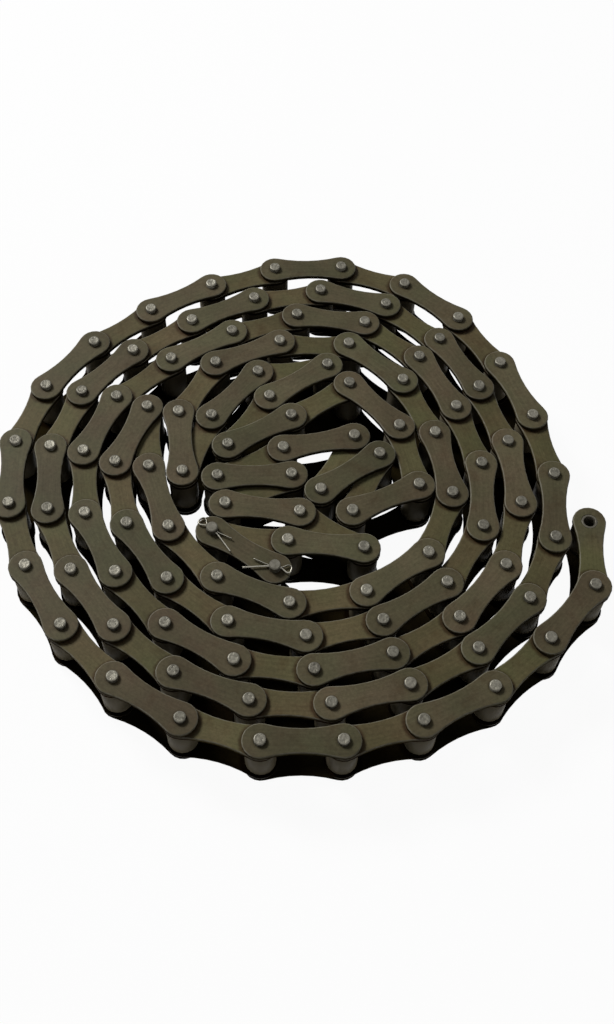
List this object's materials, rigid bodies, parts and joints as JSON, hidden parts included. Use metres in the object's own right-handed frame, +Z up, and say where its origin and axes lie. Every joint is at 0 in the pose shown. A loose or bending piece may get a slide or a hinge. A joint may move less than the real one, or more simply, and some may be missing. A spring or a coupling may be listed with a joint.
{
  "type": "agricultural roller chain",
  "caption": "Steel agricultural roller chain with waisted plates, pins, bushes and rollers, rolled flat in a coil with a free end and a connecting link held by split pins.",
  "frame": {"origin": "centre of the coil's box, on the surface that the lower pin ends rest on", "axes": "+Z up along the pins, +X to the right and +Y away in the picture"},
  "size_m": [0.2402, 0.2344, 0.0279],
  "materials": {
    "plate": "blued and oiled",
    "pin": "satin",
    "bush": "satin",
    "roller": "satin and oiled",
    "cotter": "bright drawn wire"
  },
  "bodies": {
    "core": {"core_upper_outer_plates": "plate", "core_lower_outer_plates": "plate", "core_pins": "pin", "core_upper_inner_plates": "plate", "core_lower_inner_plates": "plate", "core_bushes": "bush", "core_rollers": "roller", "connecting_pin_plate": "plate", "connecting_cover_plate": "plate", "connecting_pins": "pin", "cotter_near": "cotter", "cotter_end": "cotter"},
    "link_11": {"inner_link_11_upper_plate": "plate", "inner_link_11_lower_plate": "plate", "inner_link_11_bushes": "bush"},
    "link_10": {"outer_link_10_upper_plate": "plate", "outer_link_10_lower_plate": "plate", "outer_link_10_pins": "pin"},
    "link_09": {"inner_link_09_upper_plate": "plate", "inner_link_09_lower_plate": "plate", "inner_link_09_bushes": "bush"},
    "link_08": {"outer_link_08_upper_plate": "plate", "outer_link_08_lower_plate": "plate", "outer_link_08_pins": "pin"},
    "link_07": {"inner_link_07_upper_plate": "plate", "inner_link_07_lower_plate": "plate", "inner_link_07_bushes": "bush"},
    "link_06": {"outer_link_06_upper_plate": "plate", "outer_link_06_lower_plate": "plate", "outer_link_06_pins": "pin"},
    "link_05": {"inner_link_05_upper_plate": "plate", "inner_link_05_lower_plate": "plate", "inner_link_05_bushes": "bush"},
    "link_04": {"outer_link_04_upper_plate": "plate", "outer_link_04_lower_plate": "plate", "outer_link_04_pins": "pin"},
    "link_03": {"inner_link_03_upper_plate": "plate", "inner_link_03_lower_plate": "plate", "inner_link_03_bushes": "bush"},
    "link_02": {"outer_link_02_upper_plate": "plate", "outer_link_02_lower_plate": "plate", "outer_link_02_pins": "pin"},
    "link_01": {"inner_link_01_upper_plate": "plate", "inner_link_01_lower_plate": "plate", "inner_link_01_bushes": "bush"},
    "roller_01": {"roller_01": "roller"},
    "roller_02": {"roller_02": "roller"},
    "roller_03": {"roller_03": "roller"},
    "roller_04": {"roller_04": "roller"},
    "roller_05": {"roller_05": "roller"},
    "roller_06": {"roller_06": "roller"},
    "roller_07": {"roller_07": "roller"},
    "roller_08": {"roller_08": "roller"},
    "roller_09": {"roller_09": "roller"},
    "roller_10": {"roller_10": "roller"},
    "roller_11": {"roller_11": "roller"},
    "roller_12": {"roller_12": "roller"}
  },
  "joints": [
    {"name": "pin_12_hinge", "type": "hinge", "parent": "core", "child": "link_11", "pos_m": [-0.11183, -0.01728, 0.01334], "axis": [0, 0, -1], "range_deg": [0, 36]},
    {"name": "pin_11_hinge", "type": "hinge", "parent": "link_11", "child": "link_10", "pos_m": [-0.10137, -0.04455, 0.01334], "axis": [0, 0, -1], "range_deg": [0, 36]},
    {"name": "pin_10_hinge", "type": "hinge", "parent": "link_10", "child": "link_09", "pos_m": [-0.08482, -0.06862, 0.01334], "axis": [0, 0, -1], "range_deg": [0, 36]},
    {"name": "pin_09_hinge", "type": "hinge", "parent": "link_09", "child": "link_08", "pos_m": [-0.06369, -0.08879, 0.01334], "axis": [0, 0, -1], "range_deg": [0, 36]},
    {"name": "pin_08_hinge", "type": "hinge", "parent": "link_08", "child": "link_07", "pos_m": [-0.03845, -0.10348, 0.01334], "axis": [0, 0, -1], "range_deg": [0, 36]},
    {"name": "pin_07_hinge", "type": "hinge", "parent": "link_07", "child": "link_06", "pos_m": [-0.01014, -0.11068, 0.01334], "axis": [0, 0, -1], "range_deg": [0, 36]},
    {"name": "pin_06_hinge", "type": "hinge", "parent": "link_06", "child": "link_05", "pos_m": [0.01905, -0.10964, 0.01334], "axis": [0, 0, -1], "range_deg": [0, 36]},
    {"name": "pin_05_hinge", "type": "hinge", "parent": "link_05", "child": "link_04", "pos_m": [0.04703, -0.10125, 0.01334], "axis": [0, 0, -1], "range_deg": [0, 36]},
    {"name": "pin_04_hinge", "type": "hinge", "parent": "link_04", "child": "link_03", "pos_m": [0.07283, -0.08754, 0.01334], "axis": [0, 0, -1], "range_deg": [0, 75]},
    {"name": "pin_03_hinge", "type": "hinge", "parent": "link_03", "child": "link_02", "pos_m": [0.09419, -0.06762, 0.01334], "axis": [0, 0, -1], "range_deg": [0, 90]},
    {"name": "pin_02_hinge", "type": "hinge", "parent": "link_02", "child": "link_01", "pos_m": [0.11257, -0.04492, 0.01334], "axis": [0, 0, -1], "range_deg": [-4, 150]},
    {"name": "roller_01_spin", "type": "hinge", "parent": "link_01", "child": "roller_01", "pos_m": [0.11359, -0.01573, 0.01334], "axis": [0, 0, 1], "continuous": true},
    {"name": "roller_02_spin", "type": "hinge", "parent": "link_01", "child": "roller_02", "pos_m": [0.11257, -0.04492, 0.01334], "axis": [0, 0, 1], "continuous": true},
    {"name": "roller_03_spin", "type": "hinge", "parent": "link_03", "child": "roller_03", "pos_m": [0.09419, -0.06762, 0.01334], "axis": [0, 0, 1], "continuous": true},
    {"name": "roller_04_spin", "type": "hinge", "parent": "link_03", "child": "roller_04", "pos_m": [0.07283, -0.08754, 0.01334], "axis": [0, 0, 1], "continuous": true},
    {"name": "roller_05_spin", "type": "hinge", "parent": "link_05", "child": "roller_05", "pos_m": [0.04703, -0.10125, 0.01334], "axis": [0, 0, 1], "continuous": true},
    {"name": "roller_06_spin", "type": "hinge", "parent": "link_05", "child": "roller_06", "pos_m": [0.01905, -0.10964, 0.01334], "axis": [0, 0, 1], "continuous": true},
    {"name": "roller_07_spin", "type": "hinge", "parent": "link_07", "child": "roller_07", "pos_m": [-0.01014, -0.11068, 0.01334], "axis": [0, 0, 1], "continuous": true},
    {"name": "roller_08_spin", "type": "hinge", "parent": "link_07", "child": "roller_08", "pos_m": [-0.03845, -0.10348, 0.01334], "axis": [0, 0, 1], "continuous": true},
    {"name": "roller_09_spin", "type": "hinge", "parent": "link_09", "child": "roller_09", "pos_m": [-0.06369, -0.08879, 0.01334], "axis": [0, 0, 1], "continuous": true},
    {"name": "roller_10_spin", "type": "hinge", "parent": "link_09", "child": "roller_10", "pos_m": [-0.08482, -0.06862, 0.01334], "axis": [0, 0, 1], "continuous": true},
    {"name": "roller_11_spin", "type": "hinge", "parent": "link_11", "child": "roller_11", "pos_m": [-0.10137, -0.04455, 0.01334], "axis": [0, 0, 1], "continuous": true},
    {"name": "roller_12_spin", "type": "hinge", "parent": "link_11", "child": "roller_12", "pos_m": [-0.11183, -0.01728, 0.01334], "axis": [0, 0, 1], "continuous": true}
  ]
}
